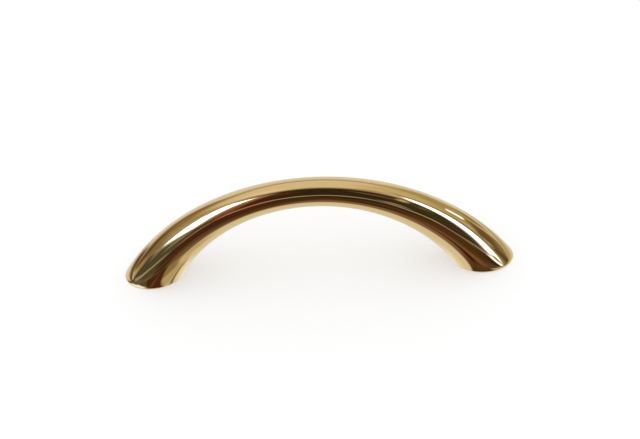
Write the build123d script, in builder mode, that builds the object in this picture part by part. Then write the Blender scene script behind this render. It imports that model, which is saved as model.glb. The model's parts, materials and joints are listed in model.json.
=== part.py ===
"""A polished brass bow handle for a drawer or cupboard door, in millimetres.

One piece of metal: an oval bar that arches between two round feet and swells towards them.
The feet stand on z = 0, the face of the door. X runs along the handle and Y across it.
The origin is midway between the two fixing screws.
"""

import os
from math import cos, radians, sin, sqrt, tan

from build123d import *

# Driving sizes of the bow
fixing_centres = 96.0  # screw to screw
projection = 29.5  # face of the door to the top of the bow
grip_thickness = 7.5  # at mid-span, seen from the side
grip_width = 9.5  # at mid-span, seen from above
foot_length = 17.8  # each foot along X, out to its sharp edge
foot_width = 16.2  # each foot along Y, out to its sharp edge
foot_edge_bevel = 0.3  # the broken edge where the bar meets the flat face

# Driving sizes of the tapped hole in each foot, for an M4 screw
tapping_drill_diameter = 3.3
drilled_depth = 6.5  # at full diameter, from the flat face
drill_point_angle = 118.0
countersink_diameter = 4.4
countersink_angle = 90.0

# Oval sections that the bar is lofted through, from mid-span to each foot
sections_each_side = 4

heel_x = (fixing_centres + foot_length) / 2  # outer end of each foot
toe_x = (fixing_centres - foot_length) / 2  # inner end of each foot


def side_arc_distance(foot_x, top_z, angle):
    """Distance from the origin, at an angle from upright, of the arc over (foot_x, 0) and (0, top_z)."""
    radius = (foot_x**2 + top_z**2) / (2 * top_z)
    centre_z = top_z - radius
    return centre_z * cos(angle) + sqrt(radius**2 - (centre_z * sin(angle)) ** 2)


def half_width(x):
    """Half the bar's width across Y, between the two long arcs that shape it as seen from above."""
    flare = (foot_width - grip_width) / 2
    arc_radius = ((fixing_centres / 2) ** 2 + flare**2) / (2 * flare)
    return grip_width / 2 + arc_radius - sqrt(arc_radius**2 - x**2)


with BuildPart() as handle:
    # Half of each oval section. Their planes fan about the Y axis, so both end ones lie flat on z = 0
    for index in range(-sections_each_side, sections_each_side + 1):
        angle = radians(90 * index / sections_each_side)
        outer = side_arc_distance(heel_x, projection, angle)
        inner = side_arc_distance(toe_x, projection - grip_thickness, angle)
        middle = (outer + inner) / 2
        half_thickness = (outer - inner) / 2
        section_plane = Plane(
            origin=(middle * sin(angle), 0, middle * cos(angle)),
            x_dir=(sin(angle), 0, cos(angle)),
            z_dir=(cos(angle), 0, -sin(angle)),
        )
        with BuildSketch(section_plane):
            with BuildLine():
                EllipticalCenterArc((0, 0), half_thickness, half_width(middle * sin(angle)), arc_size=180)
                Line((-half_thickness, 0), (half_thickness, 0))
            make_face()
    loft()
    mirror(about=Plane.XZ)

    # Break the edge of each flat foot face
    chamfer(handle.faces().filter_by(Axis.Z).edges(), foot_edge_bevel)

    # The hole in each foot: countersunk mouth, drilled bore and drill point
    hole_radius = tapping_drill_diameter / 2
    countersink_radius = countersink_diameter / 2
    countersink_depth = (countersink_radius - hole_radius) / tan(radians(countersink_angle / 2))
    point_depth = hole_radius / tan(radians(drill_point_angle / 2))
    for hole_x in (-fixing_centres / 2, fixing_centres / 2):
        with BuildSketch(Plane(origin=(hole_x, 0, 0), x_dir=(1, 0, 0), z_dir=(0, -1, 0))):
            with BuildLine():
                Polyline(
                    (0, 0),
                    (countersink_radius, 0),
                    (hole_radius, countersink_depth),
                    (hole_radius, drilled_depth),
                    (0, drilled_depth + point_depth),
                    close=True,
                )
            make_face()
        revolve(axis=Axis((hole_x, 0, 0), (0, 0, 1)), mode=Mode.SUBTRACT)

handle.part.label = "handle"

os.makedirs("parts", exist_ok=True)
export_step(handle.part, "parts/handle.step")
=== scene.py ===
"""A polished brass bow handle on a white table, in a tent of softboxes and dark cards."""

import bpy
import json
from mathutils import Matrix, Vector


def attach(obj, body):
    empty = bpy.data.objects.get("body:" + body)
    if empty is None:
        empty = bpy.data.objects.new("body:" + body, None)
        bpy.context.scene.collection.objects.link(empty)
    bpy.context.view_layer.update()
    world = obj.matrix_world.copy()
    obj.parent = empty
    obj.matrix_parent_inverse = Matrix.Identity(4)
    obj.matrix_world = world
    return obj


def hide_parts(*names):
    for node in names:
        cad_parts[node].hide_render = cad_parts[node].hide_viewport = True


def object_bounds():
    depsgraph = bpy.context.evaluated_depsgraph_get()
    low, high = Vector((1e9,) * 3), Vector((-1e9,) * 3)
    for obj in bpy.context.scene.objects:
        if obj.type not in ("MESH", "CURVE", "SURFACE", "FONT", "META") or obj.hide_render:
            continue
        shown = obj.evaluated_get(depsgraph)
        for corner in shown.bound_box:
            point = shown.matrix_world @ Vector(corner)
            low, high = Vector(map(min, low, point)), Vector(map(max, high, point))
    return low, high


bl_info = {
    "name": "Brass bow handle",
    "version": (1, 0, 0),
    "blender": (4, 5, 0),
    "location": "3D View > Sidebar > Bow handle",
    "description": "Makes a polished brass bow handle and the small studio round it",
    "category": "Object",
}

import json
from math import cos, pi, radians, sin, tau
from typing import NamedTuple

import bmesh
import bpy
from bpy.props import FloatProperty, FloatVectorProperty, IntProperty, PointerProperty
from mathutils import Matrix, Vector

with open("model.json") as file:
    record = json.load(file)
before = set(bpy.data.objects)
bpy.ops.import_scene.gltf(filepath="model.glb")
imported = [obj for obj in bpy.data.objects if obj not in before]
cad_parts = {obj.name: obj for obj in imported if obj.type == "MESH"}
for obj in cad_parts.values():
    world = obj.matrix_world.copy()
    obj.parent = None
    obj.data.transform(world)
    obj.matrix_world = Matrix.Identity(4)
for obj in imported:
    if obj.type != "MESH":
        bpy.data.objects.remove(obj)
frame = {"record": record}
cad_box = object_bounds()

MOUNTS = {mount["name"]: mount for mount in frame["record"]["mounts"]}
HOLES = MOUNTS["fixing_holes"]["dims"]
MILLIMETRE = 0.001

# The handle's mesh: rows of points in its smaller sheets, how near two points are joined into one, how high
# the flat face's points may lie, and the angle from which an edge is shaded sharp
EDGE_ROWS = 9
FACE_ROWS = 9
MOUTH_ROWS = 3
POINT_ROWS = 4
MERGE_DISTANCE = 5e-6
FLAT_HEIGHT = 1e-6
SHARP_ANGLE = radians(35)

# The thread: its points in a turn, and the share of the pitch that its crest and each of its flanks take
ROWS_PER_TURN = 4.0
FLANK_SHARE = 2 / 7

# How noise is drawn out, by axis: the smaller the number, the longer its features along that axis
EVEN = (1.0, 1.0, 1.0)
HAIRLINES = (0.06, 1.0, 1.0)
CROSSING_LINES = (1.0, 0.08, 0.7)
BELT_HAZE = (0.05, 1.0, 1.0)
BELT_LINES = (0.02, 1.0, 1.0)
DRILL_RINGS = (0.3, 0.3, 1.0)

# The studio, in metres. A reach is from the middle to a side, and the table's card lies just clear of it
TABLE_REACH = 4.0
CARD_REACH = 1.1
CARD_HEIGHT = 0.0004
TENT_RADIUS = 1.0
TENT_MIDDLE = 0.015

# Faces round the tent and from its foot to its top
TENT_SEGMENTS = 96
TENT_RINGS = 64

# The light of the room, and how strongly the table glows for the eye and the metal
WHITE = (1.0, 1.0, 1.0, 1.0)
TABLE_GLOW = 0.42

# Where the tent turns from paper to soot, in radii in front of its middle
FRONT_STARTS = -0.12
FRONT_IS_FULL = 0.18

# The streaks on the tent: width and height in degrees, strength, fineness, and the palest tone that takes
# them, with how softly they stop there
STREAK_WIDTH = 7.0
STREAK_HEIGHT = 40.0
STREAK_STRENGTH = 1.2
STREAK_DETAIL = 3.0
DARK_TONE = 0.35
DARK_TONE_BLEND = 0.15

# The photograph's viewpoint, with angles in degrees, lengths in metres and the lens in millimetres
CAMERA_AZIMUTH = 3.671
CAMERA_ELEVATION = 36.805
CAMERA_ROLL = -5.276
CAMERA_TARGET = (0.001936, 0.0, 0.01596)
CAMERA_DISTANCE = 0.2808
CAMERA_SENSOR = 36.0
CAMERA_LENS = 55.85
CAMERA_NEAREST = 0.01


def length(name, description, metres):
    """A length that a user may change."""
    return FloatProperty(
        name=name, description=description, default=metres, min=0.0, unit="LENGTH", precision=5
    )


def shade(name, description, colour):
    """A colour that a user may change."""
    return FloatVectorProperty(
        name=name, description=description, default=colour, size=3, min=0.0, max=1.0, subtype="COLOR"
    )


class BowHandleSizes(bpy.types.PropertyGroup):
    """Sizes of the handle, with the foot faces on z = 0 and the screws on the X axis."""

    fixing_centres: length("Fixing centres", "Screw to screw", HOLES["spacing_x_mm"] * MILLIMETRE)
    projection: length("Projection", "Face of the door to the top of the bow", cad_box[1][2])
    grip_thickness: length("Grip thickness", "At mid-span, seen from the side", 0.0075)
    grip_width: length("Grip width", "At mid-span, seen from above", 0.0095)
    foot_length: length("Foot length", "Each foot along the handle, out to its sharp edge", 0.0178)
    foot_width: length("Foot width", "Each foot across the handle, out to its sharp edge", 0.0162)
    edge_setback: length("Edge setback", "How far the foot's round reaches from its sharp edge", 0.0003)
    bore_radius: length("Bore radius", "The tapping drill's", HOLES["hole_r_mm"] * MILLIMETRE)
    bore_depth: length("Bore depth", "From the flat face to the drill point", 0.0065)
    point_depth: length("Drill point", "Height of the cone at the end of the bore", 0.00099)
    mouth_radius: length("Mouth radius", "Of the countersink, at the flat face", 0.0022)
    thread_pitch: length("Thread pitch", "Of an M4 screw", 0.0007)
    thread_depth: length("Thread depth", "From the bore to the bottom of the groove", 0.00035)
    rings: IntProperty(
        name="Rings", description="Rings of faces from mid-span to each foot", default=120, min=8
    )
    columns: IntProperty(name="Columns", description="Faces round the bar", default=160, min=16)


class BowHandleFinish(bpy.types.PropertyGroup):
    """Colours of the metal, of the table and of the cards that the metal mirrors."""

    brass: shade("Brass", "Polished brass, seen straight on", (0.82, 0.585, 0.27))
    table: shade("Table", "The pale table that the feet stand on", (0.6, 0.6, 0.6))
    paper: shade("Paper", "The back of the tent", (0.79, 0.785, 0.77))
    sheet: shade("Sheet", "The table as the metal mirrors it", (0.80, 0.85, 0.90))
    sky: shade("Sky", "Cool white card", (0.80, 0.88, 1.0))
    daylight: shade("Daylight", "The softboxes", (0.52, 0.62, 1.0))
    khaki: shade("Khaki", "Green-grey cards", (0.50, 0.47, 0.36))
    olive: shade("Olive", "Green-brown cards", (0.35, 0.31, 0.19))
    moss: shade("Moss", "Dull green cards", (0.26, 0.28, 0.25))
    umber: shade("Umber", "Warm brown cards", (0.36, 0.26, 0.13))
    cocoa: shade("Cocoa", "Dull brown cards", (0.25, 0.17, 0.12))
    russet: shade("Russet", "Red-brown cards", (0.25, 0.12, 0.045))
    maroon: shade("Maroon", "Dark red cards", (0.25, 0.09, 0.06))
    oxblood: shade("Oxblood", "The darkest red cards", (0.17, 0.028, 0.010))
    rose: shade("Rose", "Pale red cards", (0.40, 0.27, 0.26))
    slate: shade("Slate", "Grey cards", (0.33, 0.33, 0.34))
    soot: shade("Soot", "The dark side of the tent, in front", (0.036, 0.028, 0.016))
    room_strength: FloatProperty(name="Room", description="Light from all round", default=1.0, min=0.0)


class Card(NamedTuple):
    """A soft-edged patch of one tone that the metal mirrors.

    Level scales the tone. At is the middle, and half is the reach each way from it, across and up. Soft is
    how far the edges blur. Lean is how far the sides move across for each step up, and tilt how far the
    ends rise for each step across. On the tent all this is in degrees: azimuth, 0 towards the camera's side
    and 90 along +X, and elevation. On the table it is in millimetres, along the handle and across it.
    """

    name: str
    tone: str
    level: float
    at: tuple
    half: tuple
    soft: tuple
    lean: float = 0.0
    tilt: float = 0.0


# On the tent. Each goes over the ones before it
TENT_CARDS = (
    Card("horizon behind", "sky", 1.0, at=(180, 0), half=(32, 20), soft=(12, 8)),
    Card("left high", "paper", 1.2, at=(-112, 66), half=(12, 9), soft=(12, 8)),
    Card("right high", "olive", 1.2, at=(98, 67), half=(14, 6), soft=(12, 8)),
    Card("rail behind", "khaki", 0.85, at=(180, 33), half=(45, 4), soft=(15, 5)),
    Card("left back", "umber", 0.85, at=(-125, 17), half=(18, 17), soft=(5, 12), lean=-0.2),
    Card("left back grey", "khaki", 0.72, at=(-104, 24), half=(9, 22), soft=(7, 10)),
    Card("left back mid", "olive", 0.7, at=(-104, 13), half=(12, 6), soft=(6, 4)),
    Card("left back low", "umber", 0.34, at=(-116, 6), half=(13, 5.5), soft=(5, 3.5), tilt=-0.3),
    Card("right back", "khaki", 1.3, at=(124, 44), half=(24, 20), soft=(12, 10)),
    Card("right back gold", "olive", 1.3, at=(130, 20), half=(26, 13), soft=(8, 8)),
    Card("left low", "moss", 0.34, at=(-66, 4), half=(28, 20), soft=(8, 8)),
    Card("left ember", "umber", 1.05, at=(-98, 4.2), half=(5, 1.8), soft=(4, 2)),
    Card("left green", "moss", 1.0, at=(-80, 13.5), half=(4, 3), soft=(4, 3)),
    Card("left green slope", "moss", 1.15, at=(-57, 19), half=(6, 3.2), soft=(4, 2.6), tilt=0.5),
    Card("left pale line", "slate", 1.4, at=(-64, 1.8), half=(20, 1.1), soft=(4, 1.0), tilt=0.15),
    Card("front right low", "russet", 0.38, at=(20, 2), half=(24, 7), soft=(8, 4)),
    Card("front right", "soot", 1.6, at=(56, 26), half=(14, 22), soft=(8, 8)),
    Card("front high brown", "cocoa", 0.75, at=(46, 58), half=(12, 5), soft=(6, 4), tilt=-0.5),
    Card("front left low red", "maroon", 0.3, at=(-24, 8), half=(17, 10), soft=(6, 5)),
    Card("front left red", "maroon", 1.0, at=(-44, 44), half=(9, 17), soft=(4, 5), lean=-0.35),
    Card("front left high red", "maroon", 0.45, at=(-34, 61), half=(12, 6), soft=(8, 6)),
    Card("front left deep red", "oxblood", 0.55, at=(-31, 44), half=(6.5, 12), soft=(4, 5), lean=-0.25),
    Card("front left pale red", "rose", 1.1, at=(-26, 24.4), half=(9, 3.2), soft=(4, 3), tilt=0.15),
    Card("front left riser", "rose", 0.9, at=(-37.5, 13.5), half=(2.4, 7), soft=(2, 4), lean=0.4),
    Card("front grey", "slate", 1.35, at=(-3, 28.8), half=(19, 2.7), soft=(6, 3.2)),
    Card("right grey line", "slate", 1.1, at=(20, 25), half=(7, 2.4), soft=(4, 2.5), tilt=-0.6),
    Card("right grey high", "slate", 0.95, at=(28, 32), half=(5, 4), soft=(4, 3)),
    Card("right grey spot", "slate", 1.25, at=(30, 19.5), half=(7, 3.0), soft=(4, 2.5), tilt=-0.4),
    Card("right grey slope", "slate", 0.95, at=(36, 12.5), half=(6, 2.6), soft=(3, 2), tilt=-0.8),
    Card("right grey low", "slate", 0.9, at=(49, 6.2), half=(8, 2.6), soft=(3, 2), tilt=-0.25),
    Card("front streak left", "maroon", 0.42, at=(-24, -22), half=(5, 20), soft=(4, 8)),
    Card("front streak pale", "maroon", 0.65, at=(-1, -24), half=(3, 12), soft=(3, 8)),
    Card("front streak red", "oxblood", 0.6, at=(8, -34), half=(3, 14), soft=(4, 8)),
    Card("front low", "russet", 0.42, at=(26, -14), half=(24, 8), soft=(12, 6)),
    Card("right haze", "olive", 0.5, at=(66, 42), half=(5, 3), soft=(8, 4)),
    Card("right glint", "khaki", 1.2, at=(67, 51.5), half=(9, 2.2), soft=(4, 2), tilt=0.12),
    Card("left softbox frame", "slate", 1.05, at=(-71.5, 41), half=(22, 22.5), soft=(1.5, 1.5),
         lean=-0.08, tilt=0.35),
    Card("left softbox", "daylight", 5.0, at=(-74.2, 40.5), half=(14.2, 18.3), soft=(2.0, 2.0),
         lean=-0.25, tilt=0.38),
    Card("left softbox corner", "slate", 1.2, at=(-95, 54), half=(6, 12), soft=(2, 2)),
    Card("strip frame", "slate", 0.95, at=(95.5, 28), half=(6, 28), soft=(2.5, 4), lean=0.6),
    Card("right back low", "olive", 0.85, at=(114, 3), half=(31, 6), soft=(6, 3)),
    Card("right back foot", "umber", 0.38, at=(94, 4), half=(8, 6), soft=(5, 3)),
    Card("right back dark", "umber", 0.52, at=(109, 12), half=(14, 6.5), soft=(4, 3)),
    Card("right back spark", "paper", 0.95, at=(126.5, 4), half=(2.5, 5), soft=(2.5, 3)),
    Card("glow beside the strip", "daylight", 0.5, at=(73.5, 29), half=(3, 24), soft=(3, 4), lean=0.57),
    Card("right strip light", "daylight", 5.0, at=(82, 27), half=(7.4, 25), soft=(3.5, 3), lean=0.57),
    Card("gap at the foot of the strip", "slate", 1.0, at=(68, 3.6), half=(4.2, 2.6), soft=(1.5, 1.2),
         tilt=-0.2),
    Card("foot of the strip", "daylight", 4.0, at=(68, -0.5), half=(12, 1.4), soft=(3, 1.0), tilt=-0.3),
    Card("small lamp", "daylight", 2.9, at=(120.6, 22.8), half=(5.5, 4.4), soft=(1.5, 0.8),
         lean=0.69, tilt=-0.5),
)

# On the table, in front of the sheet that the handle stands on
TABLE_CARDS = (
    Card("strip in front", "cocoa", 0.95, at=(20, -42), half=(24, 30), soft=(7, 8), lean=0.346),
    Card("dark line at the right foot", "oxblood", 0.35, at=(36, -39), half=(2.6, 27), soft=(2, 4),
         lean=0.346),
    Card("warm strip in front", "cocoa", 0.85, at=(-22, -34), half=(25, 9), soft=(8, 8), tilt=-0.3),
    Card("green at the left foot", "moss", 0.8, at=(-120, -28), half=(64, 14), soft=(8, 8), tilt=0.28),
    Card("brown at the left foot", "cocoa", 0.45, at=(-44, -66), half=(13, 28), soft=(7, 10)),
    Card("brown at the right foot", "cocoa", 0.6, at=(44, -72), half=(8, 26), soft=(6, 9), lean=0.2),
)

# On the sheet
SHEET_CARDS = (
    Card("fan beside the left foot", "olive", 0.85, at=(-40.8, -16), half=(4, 5), soft=(1.6, 2)),
    Card("warm beside the left foot", "khaki", 1.2, at=(-31, -15), half=(5, 5), soft=(4, 4)),
    Card("warm at the left toe", "khaki", 1.08, at=(-41, -9.2), half=(6, 1.9), soft=(3, 0.8)),
    Card("bright at the left toe", "sheet", 1.2, at=(-37.5, -3), half=(4, 2.4), soft=(2, 1.6)),
    # Painted shadow: a thin dark line on the sheet by the left toe, where the foot's contact shadow falls,
    # as the metal mirrors it
    Card("dark line at the left toe", "olive", 0.3, at=(-38.5, -6.9), half=(4.5, 0.4), soft=(1.5, 0.5),
         tilt=-0.08),
    Card("bright at the right toe", "sheet", 1.18, at=(38, -4), half=(5, 2.2), soft=(3, 2)),
    Card("far behind the left heel", "umber", 0.6, at=(-600, 330), half=(330, 150), soft=(20, 60),
         tilt=-0.55),
    Card("behind the left heel", "umber", 0.45, at=(-184, 78), half=(116, 42), soft=(9, 14), tilt=-0.8),
    Card("behind the right heel", "khaki", 1.05, at=(150, 50), half=(88, 38), soft=(10, 12), tilt=0.3),
    Card("red beside the left foot", "maroon", 0.33, at=(-52.5, -13), half=(8, 9), soft=(0.8, 2)),
    Card("streak beside the left foot", "cocoa", 0.6, at=(-48.5, -14), half=(0.5, 5), soft=(0.6, 3)),
    Card("green beside the left foot", "olive", 0.33, at=(-59, -14), half=(4.5, 6), soft=(0.8, 2),
         lean=1.0),
    Card("spark at the left foot", "daylight", 2.2, at=(-55, -7.7), half=(5, 2.5), soft=(1.0, 0.8),
         tilt=0.3),
    Card("spark at the right foot", "paper", 0.8, at=(55, -7), half=(4, 3.5), soft=(1.0, 0.8)),
)


class Field:
    """A number that varies over a mesh or a surface, so that a node tree reads as plain arithmetic."""

    def __init__(self, tree, socket):
        self.tree = tree
        self.socket = socket

    def math(self, operation, *others):
        made = self.tree.nodes.new("ShaderNodeMath")
        made.operation = operation
        fill(self.tree, made.inputs, (self, *others))
        return Field(self.tree, made.outputs[0])

    def __add__(self, other):
        return self.math("ADD", other)

    def __sub__(self, other):
        return self.math("SUBTRACT", other)

    def __mul__(self, other):
        return self.math("MULTIPLY", other)

    def __truediv__(self, other):
        return self.math("DIVIDE", other)

    def __neg__(self):
        return self.math("MULTIPLY", -1.0)

    def __rsub__(self, other):
        return -self + other

    def squared(self):
        return self * self

    def root(self):
        return self.math("SQRT")

    def sine(self):
        return self.math("SINE")

    def cosine(self):
        return self.math("COSINE")

    def between(self, low, high):
        """Itself, but never under low or over high."""
        return self.math("MAXIMUM", low).math("MINIMUM", high)

    def from_to(self, low, high):
        """Low where this is 0, high where it is 1."""
        return self * (high - low) + low

    def rises(self, low, high):
        """0 up to low, 1 from high on, and a smooth step between."""
        step = self.tree.nodes.new("ShaderNodeMapRange")
        step.interpolation_type = "SMOOTHSTEP"
        fill(self.tree, step.inputs, (self, low, high))
        return Field(self.tree, step.outputs[0])

    def within(self, half, soft):
        """1 nearer to zero than half, 0 farther, with a soft edge."""
        return 1.0 - self.math("ABSOLUTE").rises(half - soft, half + soft)


def fill(tree, sockets, values):
    """Gives each socket its value: a link if the value is a field, or else a constant."""
    for socket, value in zip(sockets, values):
        if isinstance(value, Field):
            tree.links.new(value.socket, socket)
        else:
            socket.default_value = value


def node(tree, kind, **inputs):
    """A new node, with its inputs given by name."""
    made = tree.nodes.new(kind)
    names = [name.replace("_", " ") for name in inputs]
    fill(tree, [made.inputs[name] for name in names], inputs.values())
    return made


def split_axes(tree, vector):
    """A vector socket as three fields."""
    split = tree.nodes.new("ShaderNodeSeparateXYZ")
    tree.links.new(vector, split.inputs[0])
    return [Field(tree, socket) for socket in split.outputs]


class BowTree:
    """The node tree of the handle: half the bow with one foot, and the same turned half round."""

    def __init__(self, sizes):
        self.tree = bpy.data.node_groups.new("bow handle", "GeometryNodeTree")
        self.tree.is_modifier = True
        self.identifiers = {}
        self.sizes = {}
        for name in sizes.bl_rna.properties.keys():
            if name in ("rna_type", "name"):
                continue
            kind = "NodeSocketInt" if isinstance(getattr(sizes, name), int) else "NodeSocketFloat"
            label = sizes.bl_rna.properties[name].name
            socket = self.tree.interface.new_socket(label, in_out="INPUT", socket_type=kind)
            self.identifiers[name] = socket.identifier
        self.tree.interface.new_socket("Geometry", in_out="OUTPUT", socket_type="NodeSocketGeometry")
        entry = self.tree.nodes.new("NodeGroupInput")
        for name, socket in zip(self.identifiers, entry.outputs):
            self.sizes[name] = Field(self.tree, socket)
        self.make_shared_sizes()

    def make_shared_sizes(self):
        """What several sheets need: the arcs of the bow and the hole's place."""
        size = self.sizes
        self.hole_x = size["fixing_centres"] * 0.5
        heel_x = (size["fixing_centres"] + size["foot_length"]) * 0.5
        toe_x = (size["fixing_centres"] - size["foot_length"]) * 0.5
        self.inner_top = size["projection"] - size["grip_thickness"]
        self.outer_radius = arc_radius(heel_x, size["projection"])
        self.inner_radius = arc_radius(toe_x, self.inner_top)
        self.flare = (size["foot_width"] - size["grip_width"]) * 0.5
        self.side_radius = (self.hole_x.squared() + self.flare.squared()) / (self.flare * 2.0)
        self.mouth_depth = size["mouth_radius"] - size["bore_radius"]

    def sheet(self, rows, rule):
        """A closed band of faces, with each point placed by a rule from how far along and round it is."""
        grid = node(self.tree, "GeometryNodeMeshGrid", Size_X=1.0, Size_Y=1.0)
        fill(self.tree, (grid.inputs["Vertices X"],), (rows,))
        fill(self.tree, (grid.inputs["Vertices Y"],), (self.sizes["columns"] + 1.0,))
        x, y, _ = self.position()
        along = x + 0.5
        turn = (y + 0.5) * tau
        joined = self.tree.nodes.new("ShaderNodeCombineXYZ")
        fill(self.tree, joined.inputs, rule(along, turn))
        moved = self.chain("GeometryNodeSetPosition", grid.outputs["Mesh"])
        self.tree.links.new(joined.outputs[0], moved.inputs["Position"])
        return moved.outputs[0]

    def position(self):
        """Where each point or face is."""
        return split_axes(self.tree, self.tree.nodes.new("GeometryNodeInputPosition").outputs[0])

    def foot_edge(self, turn):
        """The foot's sharp edge at one turn: its place, the way in from it, and how the wall leaves it."""
        size = self.sizes
        half_length = size["foot_length"] * 0.5
        half_width = size["foot_width"] * 0.5
        across = turn.cosine() / half_length
        beside = turn.sine() / half_width
        scale = (across.squared() + beside.squared()).root()
        inward = (-(across / scale), -(beside / scale))
        outer_slope = self.outer_radius - size["projection"]
        inner_slope = self.inner_radius - self.inner_top
        middle_slope = (outer_slope + inner_slope) * 0.5
        reach_slope = middle_slope + (outer_slope - inner_slope) * 0.5 * turn.cosine()
        width_slope = self.hole_x / (self.side_radius - self.flare) * middle_slope
        wall_x = -reach_slope
        wall_y = -(width_slope * turn.sine())
        edge = {
            "x": self.hole_x + half_length * turn.cosine(),
            "y": half_width * turn.sine(),
            "inward": inward,
            "wall_in": wall_x * inward[0] + wall_y * inward[1],
            "wall_aside": wall_y * inward[0] - wall_x * inward[1],
        }
        edge["wall_up"] = edge["x"]
        edge["wall_length"] = (edge["wall_in"].squared() + edge["wall_up"].squared()).root()
        return edge

    def bow(self, along, turn):
        """The bar: oval sections on planes that fan about the Y axis, from mid-span to the foot's edge."""
        size = self.sizes
        trim = size["edge_setback"] / self.foot_edge(turn)["wall_length"]
        fan = along * (pi / 2 - trim)
        outer = arc_distance(self.outer_radius, size["projection"], fan)
        inner = arc_distance(self.inner_radius, self.inner_top, fan)
        middle = (outer + inner) * 0.5
        reach = middle + (outer - inner) * 0.5 * turn.cosine()
        x = middle * fan.sine()
        side_arc = (self.side_radius.squared() - x.squared()).root()
        half_width = size["grip_width"] * 0.5 + self.side_radius - side_arc
        return reach * fan.sine(), half_width * turn.sine(), reach * fan.cosine()

    def rounded_edge(self, along, turn):
        """The polished round between the bar and the foot's flat face."""
        edge = self.foot_edge(turn)
        cosine = edge["wall_in"] / edge["wall_length"]
        sine = edge["wall_up"] / edge["wall_length"]
        setback = self.sizes["edge_setback"]
        radius = setback * sine / (cosine + 1.0)
        swing = (pi - cosine.math("ARCCOSINE")) * (1.0 - along)
        inward = setback - radius * swing.sine()
        height = radius * (1.0 - swing.cosine())
        aside = edge["wall_aside"] / edge["wall_up"] * height
        way_x, way_y = edge["inward"]
        x = edge["x"] + inward * way_x - aside * way_y
        y = edge["y"] + inward * way_y + aside * way_x
        return x, y, height

    def foot_face(self, along, turn):
        """The flat face, from its rounded edge in to the hole's mouth."""
        edge = self.foot_edge(turn)
        setback = self.sizes["edge_setback"]
        mouth = self.sizes["mouth_radius"]
        rim_x = edge["x"] + setback * edge["inward"][0]
        rim_y = edge["y"] + setback * edge["inward"][1]
        x = rim_x + (self.hole_x + mouth * turn.cosine() - rim_x) * along
        y = rim_y + (mouth * turn.sine() - rim_y) * along
        return x, y, along * 0.0

    def round_the_hole(self, radius, turn, height):
        """A point at a radius from the hole's axis."""
        return self.hole_x + radius * turn.cosine(), radius * turn.sine(), height

    def mouth(self, along, turn):
        """The countersink, at 45 degrees."""
        radius = self.sizes["mouth_radius"] - self.mouth_depth * along
        return self.round_the_hole(radius, turn, self.mouth_depth * along)

    def thread(self, along, turn):
        """The bore with its thread, which fades in and out over half a pitch.

        The rows climb with the groove. In each turn they are the two ends of its crest and of its root.
        """
        size = self.sizes
        row = (along * (self.thread_rows() - 1.0)).math("ROUND")
        lap = ((row + 0.5) / ROWS_PER_TURN).math("FLOOR")
        part = row - lap * ROWS_PER_TURN
        climb = (part * FLANK_SHARE).math("MINIMUM", 1.0 - FLANK_SHARE)
        height = self.mouth_depth + size["thread_pitch"] * (lap + climb + turn / tau - 1.0)
        fade = size["thread_pitch"] * 0.5
        start = ((height - self.mouth_depth) / fade).between(0.0, 1.0)
        end = ((size["bore_depth"] - height) / fade).between(0.0, 1.0)
        in_root = part.math("GREATER_THAN", 1.5)
        groove = in_root * size["thread_depth"] * start * end
        height = height.between(self.mouth_depth, size["bore_depth"])
        return self.round_the_hole(size["bore_radius"] + groove, turn, height)

    def thread_rows(self):
        """Rows for every turn of the thread and one more, because they climb by one over the last."""
        depth = self.sizes["bore_depth"] - self.mouth_depth
        laps = (depth / self.sizes["thread_pitch"]).math("CEIL")
        return (laps + 1.0) * ROWS_PER_TURN + 1.0

    def drill_point(self, along, turn):
        """The cone that the drill leaves at the end of the bore."""
        size = self.sizes
        radius = size["bore_radius"] * (1.0 - along)
        return self.round_the_hole(radius, turn, size["bore_depth"] + size["point_depth"] * along)

    def chain(self, kind, geometry, **inputs):
        """A node that takes geometry and hands it on."""
        made = node(self.tree, kind, **inputs)
        self.tree.links.new(geometry, made.inputs[0])
        return made

    def finish(self, polished, linished, cut):
        """Joins the sheets, adds the other half, closes the seams and gives each face its metal."""
        half = self.tree.nodes.new("GeometryNodeJoinGeometry")
        sheets = (
            self.sheet(self.sizes["rings"] + 1.0, self.bow),
            self.sheet(EDGE_ROWS, self.rounded_edge),
            self.sheet(FACE_ROWS, self.foot_face),
            self.sheet(MOUTH_ROWS, self.mouth),
            self.sheet(self.thread_rows(), self.thread),
            self.sheet(POINT_ROWS, self.drill_point),
        )
        for geometry in sheets:
            self.tree.links.new(geometry, half.inputs[0])
        other_half = self.chain("GeometryNodeTransform", half.outputs[0], Rotation=(0.0, 0.0, pi))
        whole = self.tree.nodes.new("GeometryNodeJoinGeometry")
        self.tree.links.new(half.outputs[0], whole.inputs[0])
        self.tree.links.new(other_half.outputs[0], whole.inputs[0])
        made = self.chain("GeometryNodeMergeByDistance", whole.outputs[0], Distance=MERGE_DISTANCE)
        made = self.chain("GeometryNodeSetShadeSmooth", made.outputs[0])
        made = self.chain("GeometryNodeSetMaterial", made.outputs[0], Material=polished)
        for metal_here, where in zip((linished, cut), self.where_metal_changes()):
            made = self.chain(
                "GeometryNodeSetMaterial", made.outputs[0], Material=metal_here, Selection=where
            )
        leave = self.tree.nodes.new("NodeGroupOutput")
        self.tree.links.new(made.outputs[0], leave.inputs[0])

    def where_metal_changes(self):
        """Which faces are the foot's flat face, and which are inside the hole."""
        x, y, z = self.position()
        from_axis = ((x.math("ABSOLUTE") - self.hole_x).squared() + y.squared()).root()
        hole_top = self.sizes["bore_depth"] + self.sizes["point_depth"]
        inside_mouth = from_axis.math("LESS_THAN", self.sizes["mouth_radius"])
        return z.math("LESS_THAN", FLAT_HEIGHT), inside_mouth * z.math("LESS_THAN", hole_top)


def arc_radius(foot_x, top_z):
    """Radius of the arc through (foot_x, 0) and over (0, top_z)."""
    return (foot_x.squared() + top_z.squared()) / (top_z * 2.0)


def arc_distance(radius, top_z, fan):
    """Distance of that arc from the origin, at an angle from upright."""
    centre = top_z - radius
    return centre * fan.cosine() + (radius.squared() - (centre * fan.sine()).squared()).root()


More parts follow.
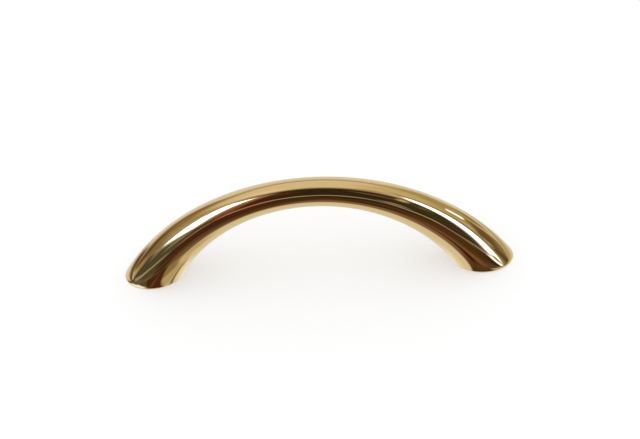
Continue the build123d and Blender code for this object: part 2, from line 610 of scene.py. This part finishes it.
def new_material(name):
    """An empty material, its tree and its output's surface socket."""
    material = bpy.data.materials.new(name)
    material.use_nodes = True
    material.node_tree.nodes.clear()
    output = material.node_tree.nodes.new("ShaderNodeOutputMaterial")
    return material, material.node_tree, output.inputs["Surface"]


def object_coordinates(tree):
    """The socket that says where on the object we are."""
    return tree.nodes.new("ShaderNodeTexCoord").outputs["Object"]


def noise(tree, stretch, scale, detail=2.0):
    """Noise of about 0 to 1, as a field. Scale is in features to the metre, before the stretch."""
    mapping = node(tree, "ShaderNodeMapping", Scale=stretch)
    tree.links.new(object_coordinates(tree), mapping.inputs["Vector"])
    texture = node(tree, "ShaderNodeTexNoise", Scale=scale, Detail=detail)
    tree.links.new(mapping.outputs[0], texture.inputs["Vector"])
    return Field(tree, texture.outputs["Fac"])


def metal(name, colour, roughness, relief, depth):
    """Brass with its roughness and its relief as fields that the given functions make."""
    material, tree, surface = new_material(name)
    shader = node(tree, "ShaderNodeBsdfPrincipled", Metallic=1.0, Base_Color=(*colour, 1.0))
    fill(tree, (shader.inputs["Roughness"],), (roughness(tree),))
    bump = node(tree, "ShaderNodeBump", Strength=1.0, Distance=depth)
    fill(tree, (bump.inputs["Height"],), (relief(tree),))
    tree.links.new(bump.outputs[0], shader.inputs["Normal"])
    tree.links.new(shader.outputs[0], surface)
    return material


def polished_brass(colour):
    """Mirror polish, with fine hairlines along the bar and across it, a slow ripple and a faint haze."""

    def roughness(tree):
        return noise(tree, EVEN, scale=260.0, detail=3.0).from_to(0.035, 0.065)

    def relief(tree):
        hairlines = noise(tree, HAIRLINES, scale=5200.0)
        crossing = noise(tree, CROSSING_LINES, scale=3600.0)
        ripple = noise(tree, EVEN, scale=170.0, detail=1.0)
        return hairlines * 0.10 + crossing * 0.07 + ripple * 1.6

    return metal("polished_brass", colour, roughness, relief, depth=2e-6)


def linished_brass(colour):
    """The foot's flat face as the belt leaves it: straight fine lines."""

    def roughness(tree):
        return noise(tree, BELT_HAZE, scale=4000.0).from_to(0.28, 0.43)

    def relief(tree):
        return noise(tree, BELT_LINES, scale=6000.0, detail=3.0)

    return metal("linished_brass", colour, roughness, relief, depth=6e-6)


def cut_brass(colour):
    """The hole as the drill and the tap leave it: fine rings."""

    def roughness(tree):
        return noise(tree, EVEN, scale=1800.0).from_to(0.22, 0.34)

    def relief(tree):
        return noise(tree, DRILL_RINGS, scale=9000.0)

    return metal("cut_brass", colour, roughness, relief, depth=4e-6)


class BOWHANDLE_OT_handle(bpy.types.Operator):
    """Makes the handle: the bow, both feet and their tapped holes, in one piece of metal"""

    bl_idname = "bow_handle.make_handle"
    bl_label = "Make the handle"

    def execute(self, context):
        sizes = context.scene.bow_handle_sizes
        colour = context.scene.bow_handle_finish.brass
        plan = BowTree(sizes)
        plan.finish(polished_brass(colour), linished_brass(colour), cut_brass(colour))
        maker = bpy.data.objects.new("bow maker", bpy.data.meshes.new("bow maker"))
        context.collection.objects.link(maker)
        modifier = maker.modifiers.new("bow", "NODES")
        modifier.node_group = plan.tree
        for name, identifier in plan.identifiers.items():
            modifier[identifier] = getattr(sizes, name)
        evaluated = maker.evaluated_get(context.evaluated_depsgraph_get())
        mesh = bpy.data.meshes.new_from_object(evaluated)
        bpy.data.objects.remove(maker)
        mesh.name = "brass_bow"
        mesh.set_sharp_from_angle(angle=SHARP_ANGLE)
        bow = bpy.data.objects.new("brass_bow", mesh)
        context.collection.objects.link(bow)
        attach(bow, "root")
        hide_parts("handle")
        return {"FINISHED"}


def blend(tree, cover, under, over):
    """One colour over another, as far as cover says."""
    mix = tree.nodes.new("ShaderNodeMix")
    mix.data_type = "RGBA"
    fill(tree, (mix.inputs[0], mix.inputs[6], mix.inputs[7]), (cover, under, over))
    return Field(tree, mix.outputs[2])


def scaled(tone, level):
    """A tone at a level, as a colour socket takes it."""
    return (*(part * level for part in tone), 1.0)


class Group:
    """A shader group with one colour out, and its inputs as fields."""

    def __init__(self, name, numbers, colours=()):
        self.tree = bpy.data.node_groups.new(name, "ShaderNodeTree")
        for label in numbers:
            self.tree.interface.new_socket(label, in_out="INPUT", socket_type="NodeSocketFloat")
        for label in colours:
            self.tree.interface.new_socket(label, in_out="INPUT", socket_type="NodeSocketColor")
        self.tree.interface.new_socket("Colour", in_out="OUTPUT", socket_type="NodeSocketColor")
        entry = self.tree.nodes.new("NodeGroupInput")
        self.inputs = [Field(self.tree, socket) for socket in entry.outputs][:-1]

    def give(self, colour):
        """Ends the group with this colour."""
        leave = self.tree.nodes.new("NodeGroupOutput")
        fill(self.tree, (leave.inputs[0],), (colour,))

    def use(self, tree, values, label=""):
        """The group's colour in another tree."""
        made = tree.nodes.new("ShaderNodeGroup")
        made.node_tree = self.tree
        made.label = label
        fill(tree, made.inputs, values)
        return Field(tree, made.outputs[0])


def soft_card_group():
    """Lays one soft-edged card over the colour beneath it."""
    numbers = ("Across", "Up", "Half width", "Half height", "Soft across", "Soft up", "Lean", "Tilt")
    group = Group("soft card", numbers, ("Under", "Tone"))
    across, up, half_width, half_height, soft_across, soft_up, lean, tilt, under, tone = group.inputs
    cover_across = (across - up * lean).within(half_width, soft_across)
    cover_up = (up - across * tilt).within(half_height, soft_up)
    group.give(blend(group.tree, cover_across * cover_up, under, tone))
    return group


def lay_cards(tree, light, cards, finish, soft_card, place):
    """Lays cards over a colour, in order. Place says how far across and up we are from a card's middle."""
    for card in cards:
        tone = scaled(getattr(finish, card.tone), card.level)
        values = (*place(card.at), *card.half, *card.soft, card.lean, card.tilt, light, tone)
        light = soft_card.use(tree, values, card.name)
    return light


def tent_group(finish, soft_card):
    """The tent's paint by azimuth and elevation, in degrees: paper behind, soot in front, and the cards."""
    group = Group("tent paint", ("Azimuth", "Elevation", "Front"))
    tree = group.tree
    azimuth, elevation, front = group.inputs

    def place(at):
        return (azimuth - at[0]).math("WRAP", 180.0, -180.0), elevation - at[1]

    light = blend(tree, front, scaled(finish.paper, 1.0), scaled(finish.soot, 1.0))
    light = lay_cards(tree, light, TENT_CARDS, finish, soft_card, place)
    group.give(streaked(tree, light, azimuth, elevation))
    return group


def streaked(tree, light, azimuth, elevation):
    """Soft upright streaks, on dark tones only, as in a real room."""
    joined = tree.nodes.new("ShaderNodeCombineXYZ")
    fill(tree, joined.inputs, (azimuth / STREAK_WIDTH, elevation / STREAK_HEIGHT, 0.0))
    texture = node(tree, "ShaderNodeTexNoise", Scale=1.0, Detail=STREAK_DETAIL)
    tree.links.new(joined.outputs[0], texture.inputs["Vector"])
    grey = tree.nodes.new("ShaderNodeRGBToBW")
    fill(tree, (grey.inputs[0],), (light,))
    dark = Field(tree, grey.outputs[0]).within(DARK_TONE, DARK_TONE_BLEND)
    wave = Field(tree, texture.outputs["Fac"]) - 0.5
    scale = tree.nodes.new("ShaderNodeVectorMath")
    scale.operation = "SCALE"
    amount = wave * dark * STREAK_STRENGTH + 1.0
    fill(tree, (scale.inputs[0], scale.inputs["Scale"]), (light, amount))
    return Field(tree, scale.outputs[0])


def glowing(name):
    """A glowing material that isn't sampled as a lamp, its tree and its colour socket."""
    material, tree, surface = new_material(name)
    shader = node(tree, "ShaderNodeEmission", Strength=1.0)
    tree.links.new(shader.outputs[0], surface)
    material.cycles.emission_sampling = "NONE"
    return material, tree, shader.inputs["Color"]


def tent_material(tent):
    """The paint inside the tent, by direction from its middle."""
    material, tree, colour = glowing("tent_paint")
    x, y, z = split_axes(tree, object_coordinates(tree))
    azimuth = x.math("ARCTAN2", -y).math("DEGREES")
    sine = ((z - TENT_MIDDLE) / TENT_RADIUS).between(-1.0, 1.0)
    elevation = sine.math("ARCSINE").math("DEGREES")
    front = (-y / TENT_RADIUS).rises(FRONT_STARTS, FRONT_IS_FULL)
    fill(tree, (colour,), (tent.use(tree, (azimuth, elevation, front)),))
    return material


def seen_from_foot(x, y):
    """Azimuth and elevation, in degrees, of a spot on the table as seen from the nearer foot.

    The eye's height is that of the part of the bar that mirrors the spot: bar_top at mid-span, and lower by
    bar_fall from bar_half on. Close to the foot the azimuth widens, as the bands do on the metal. Between
    the feet, within blend_x of the middle, one foot gives way to the other.
    """
    foot_x, blend_x = 0.046, 0.03
    bar_top, bar_fall, bar_half = 0.030, 0.022, 0.045
    far_offset, near_offset = 0.009, 0.001
    aside = x - (x / blend_x).between(-1.0, 1.0) * foot_x
    height = bar_top - (x.math("ABSOLUTE") / bar_half).between(0.0, 1.0) * bar_fall
    away = (aside.squared() + y.squared()).root()
    widening = (away + far_offset) / (away + near_offset)
    azimuth = aside.math("ARCTAN2", -y).math("DEGREES") * widening
    return azimuth, -height.math("ARCTAN2", away).math("DEGREES")


def sheet_edge(x):
    """Where the sheet ends, in front of the handle, and how soft it is there. It is nearest at the feet."""
    middle_x, half_span = -0.002, 0.034
    middle_y, rise, nearest_y = -0.0305, 0.0125, -0.004
    softness = 10.0
    edge = ((x - middle_x) / half_span).squared() * rise + middle_y
    edge = edge.math("MINIMUM", nearest_y)
    return edge, edge.squared() * softness


def table_card_material(finish, tent, soft_card):
    """The sheet on the table, as the metal mirrors it.

    In front of the handle it goes on with the tent's bands, as seen from the nearer foot, so that they run
    down to the feet without a break.
    """
    material, tree, colour = glowing("table_card_paint")
    x, y, _ = split_axes(tree, object_coordinates(tree))

    def place(at):
        return x / MILLIMETRE - at[0], y / MILLIMETRE - at[1]

    light = tent.use(tree, (*seen_from_foot(x, y), 1.0))
    light = lay_cards(tree, light, TABLE_CARDS, finish, soft_card, place)
    edge, soft = sheet_edge(x)
    light = blend(tree, (y - edge).rises(-soft, soft), light, scaled(finish.sheet, 1.0))
    fill(tree, (colour,), (lay_cards(tree, light, SHEET_CARDS, finish, soft_card, place),))
    return material


def add_stage(name, points, faces, material, only_mirrored):
    """A piece of the studio, which isn't part of the handle."""
    mesh = bpy.data.meshes.new(name)
    mesh.from_pydata(points, [], faces)
    mesh.materials.append(material)
    piece = bpy.data.objects.new(name, mesh)
    bpy.context.collection.objects.link(piece)
    if only_mirrored:
        piece.visible_camera = False
        piece.visible_shadow = False
        piece.visible_transmission = False
        piece.visible_diffuse = False


def add_square(name, reach, height, material, only_mirrored):
    """A level square round the handle, facing up."""
    corners = ((-reach, -reach), (reach, -reach), (reach, reach), (-reach, reach))
    points = [(x, y, height) for x, y in corners]
    add_stage(name, points, [(0, 1, 2, 3)], material, only_mirrored)


def seen_directly_or_mirrored(tree):
    """1 for the rays that come from the camera, from metal or through glass, and 0 for the rest."""
    path = tree.nodes.new("ShaderNodeLightPath")
    names = ("Is Camera Ray", "Is Glossy Ray", "Is Transmission Ray")
    camera, glossy, transmission = (Field(tree, path.outputs[name]) for name in names)
    return (camera + glossy + transmission).between(0.0, 1.0)


def table_material(colour):
    """A white table that keeps a faint shadow, and is open to the eye from below."""
    material, tree, surface = new_material("white_table")
    paint = node(tree, "ShaderNodeBsdfDiffuse", Color=(*colour, 1.0))
    glow = seen_directly_or_mirrored(tree) * TABLE_GLOW
    lift = node(tree, "ShaderNodeEmission", Color=WHITE, Strength=glow)
    both = tree.nodes.new("ShaderNodeAddShader")
    tree.links.new(paint.outputs[0], both.inputs[0])
    tree.links.new(lift.outputs[0], both.inputs[1])
    clear = tree.nodes.new("ShaderNodeBsdfTransparent")
    side = tree.nodes.new("ShaderNodeNewGeometry")
    choice = tree.nodes.new("ShaderNodeMixShader")
    tree.links.new(side.outputs["Backfacing"], choice.inputs[0])
    tree.links.new(both.outputs[0], choice.inputs[1])
    tree.links.new(clear.outputs[0], choice.inputs[2])
    tree.links.new(choice.outputs[0], surface)
    return material


class BOWHANDLE_OT_studio(bpy.types.Operator):
    """Sets the table, the tent of softboxes and cards that the metal mirrors, the room and the camera"""

    bl_idname = "bow_handle.set_studio"
    bl_label = "Set the studio"

    def execute(self, context):
        finish = context.scene.bow_handle_finish
        soft_card = soft_card_group()
        tent = tent_group(finish, soft_card)
        table = table_material(finish.table)
        card = table_card_material(finish, tent, soft_card)
        add_square("table", TABLE_REACH, 0.0, table, only_mirrored=False)
        add_square("table card", CARD_REACH, CARD_HEIGHT, card, only_mirrored=True)
        self.pitch_tent(tent_material(tent))
        self.light_room(context.scene, finish)
        self.place_camera(context.scene)
        context.scene.view_settings.view_transform = "Standard"
        return {"FINISHED"}

    def pitch_tent(self, material):
        """A ball round the handle that only the metal sees."""
        shape = bmesh.new()
        bmesh.ops.create_uvsphere(
            shape, u_segments=TENT_SEGMENTS, v_segments=TENT_RINGS, radius=TENT_RADIUS
        )
        bmesh.ops.translate(shape, verts=shape.verts, vec=(0.0, 0.0, TENT_MIDDLE))
        points = [tuple(vert.co) for vert in shape.verts]
        faces = [tuple(vert.index for vert in face.verts) for face in shape.faces]
        shape.free()
        add_stage("tent", points, faces, material, only_mirrored=True)

    def light_room(self, scene, finish):
        """White to the eye and in the metal, and a plain even light on everything else."""
        world = bpy.data.worlds.new("studio")
        world.use_nodes = True
        scene.world = world
        tree = world.node_tree
        tree.nodes.clear()
        seen = seen_directly_or_mirrored(tree)
        strength = seen + (1.0 - seen) * finish.room_strength
        sky = node(tree, "ShaderNodeBackground", Color=WHITE, Strength=strength)
        output = tree.nodes.new("ShaderNodeOutputWorld")
        tree.links.new(sky.outputs[0], output.inputs["Surface"])

    def place_camera(self, scene):
        """The photograph's viewpoint: above and in front, and tipped a little."""
        azimuth, elevation = radians(CAMERA_AZIMUTH), radians(CAMERA_ELEVATION)
        roll = radians(CAMERA_ROLL)
        level = cos(elevation)
        back = Vector((sin(azimuth) * level, -cos(azimuth) * level, sin(elevation)))
        right = Vector((cos(azimuth), sin(azimuth), 0.0))
        up = back.cross(right)
        tipped_right = right * cos(roll) + up * sin(roll)
        tipped_up = up * cos(roll) - right * sin(roll)
        data = bpy.data.cameras.new("camera")
        data.sensor_width = CAMERA_SENSOR
        data.lens = CAMERA_LENS
        data.clip_start = CAMERA_NEAREST
        camera = bpy.data.objects.new("camera", data)
        bpy.context.collection.objects.link(camera)
        turn = Matrix((tipped_right, tipped_up, back)).transposed()
        place = Vector(CAMERA_TARGET) + back * CAMERA_DISTANCE
        camera.matrix_world = Matrix.Translation(place) @ turn.to_4x4()
        scene.camera = camera


class BOWHANDLE_PT_sidebar(bpy.types.Panel):
    """Lists the handle's sizes and finishes"""

    bl_idname = "BOWHANDLE_PT_sidebar"
    bl_label = "Bow handle"
    bl_space_type = "VIEW_3D"
    bl_region_type = "UI"
    bl_category = "Bow handle"

    def draw(self, context):
        for group in (context.scene.bow_handle_sizes, context.scene.bow_handle_finish):
            column = self.layout.column(align=True)
            for name in group.bl_rna.properties.keys():
                if name not in ("rna_type", "name"):
                    column.prop(group, name)
        self.layout.operator(BOWHANDLE_OT_handle.bl_idname)
        self.layout.operator(BOWHANDLE_OT_studio.bl_idname)


CLASSES = (
    BowHandleSizes,
    BowHandleFinish,
    BOWHANDLE_OT_handle,
    BOWHANDLE_OT_studio,
    BOWHANDLE_PT_sidebar,
)


def register():
    for item in CLASSES:
        bpy.utils.register_class(item)
    bpy.types.Scene.bow_handle_sizes = PointerProperty(type=BowHandleSizes)
    bpy.types.Scene.bow_handle_finish = PointerProperty(type=BowHandleFinish)


def unregister():
    del bpy.types.Scene.bow_handle_finish
    del bpy.types.Scene.bow_handle_sizes
    for item in reversed(CLASSES):
        bpy.utils.unregister_class(item)


def main():
    """Makes the handle and sets the studio."""
    register()
    bpy.ops.bow_handle.make_handle()
    bpy.ops.bow_handle.set_studio()


if __name__ == "__main__":
    main()
